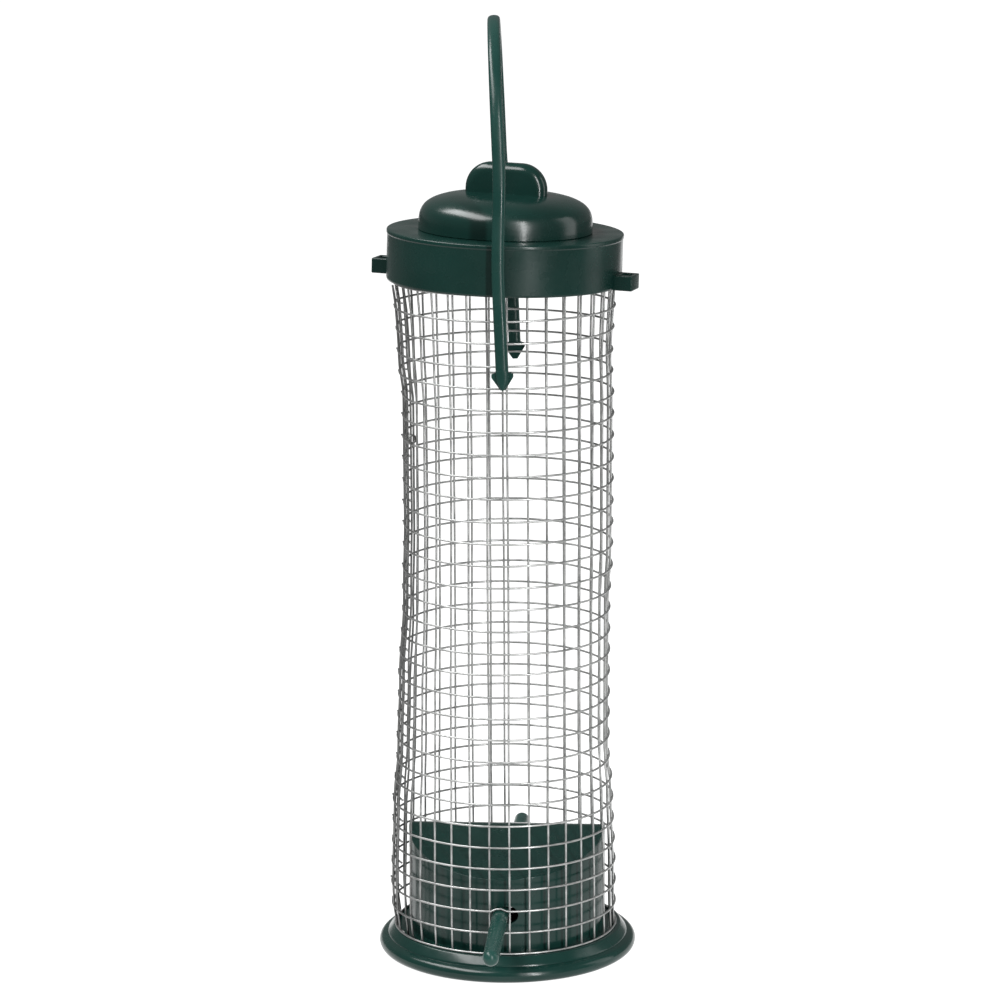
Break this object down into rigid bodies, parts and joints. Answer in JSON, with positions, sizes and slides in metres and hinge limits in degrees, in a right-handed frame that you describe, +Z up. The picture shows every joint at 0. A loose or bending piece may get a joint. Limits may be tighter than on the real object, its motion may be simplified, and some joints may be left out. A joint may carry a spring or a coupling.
{
  "type": "hanging mesh nut feeder",
  "caption": "Hanging bird feeder: a wire-mesh tube on a moulded tray with a sloping seed deflector and through perch, a slotted collar, lift-off lid and loop handle.",
  "frame": {"origin": "middle of the underside of the base rim, on the tube's axis", "axes": "+Z up along the mesh tube, Y along the perch, X along the ridge of the seed deflector"},
  "size_m": [0.0778, 0.139, 0.274],
  "materials": {
    "base_plastic": "dark bottle green moulding, satin gloss",
    "perch_plastic": "dark bottle green moulding, satin gloss",
    "collar_plastic": "dark bottle green moulding, satin gloss",
    "lid_plastic": "dark bottle green moulding, glossy",
    "handle_plastic": "dark bottle green flexible moulding, satin gloss",
    "mesh_wire": "galvanised wire, dull zinc",
    "ring_wire": "galvanised wire, dull zinc"
  },
  "bodies": {
    "feeder": {"base_tray": "base_plastic", "base_cup": "base_plastic", "seed_deflector": "base_plastic", "mesh_uprights": "mesh_wire", "mesh_hoops": "mesh_wire", "mesh_lap": "mesh_wire", "seam_ring": "ring_wire", "collar_ring": "collar_plastic", "collar_neck": "collar_plastic", "collar_lugs": "collar_plastic", "mesh_barbs": "collar_plastic"},
    "lid": {"lid_dome": "lid_plastic", "lid_tab": "lid_plastic", "lid_skirt": "lid_plastic"},
    "handle": {"handle_arch": "handle_plastic", "handle_front_leg": "handle_plastic", "handle_rear_leg": "handle_plastic", "handle_arrows": "handle_plastic"},
    "perch": {"perch_rod": "perch_plastic"}
  },
  "joints": [
    {"name": "lid_lift", "type": "slide", "parent": "feeder", "child": "lid", "axis": [0.0314, 0, 0.9995], "range_m": [0, 0.034]},
    {"name": "handle_lift", "type": "slide", "parent": "feeder", "child": "handle", "axis": [-0.0418, 0.0402, 0.9983], "range_m": [0, 0.062]},
    {"name": "perch_slide", "type": "slide", "parent": "feeder", "child": "perch", "axis": [0, 1, 0], "range_m": [-0.105, 0.105]}
  ]
}
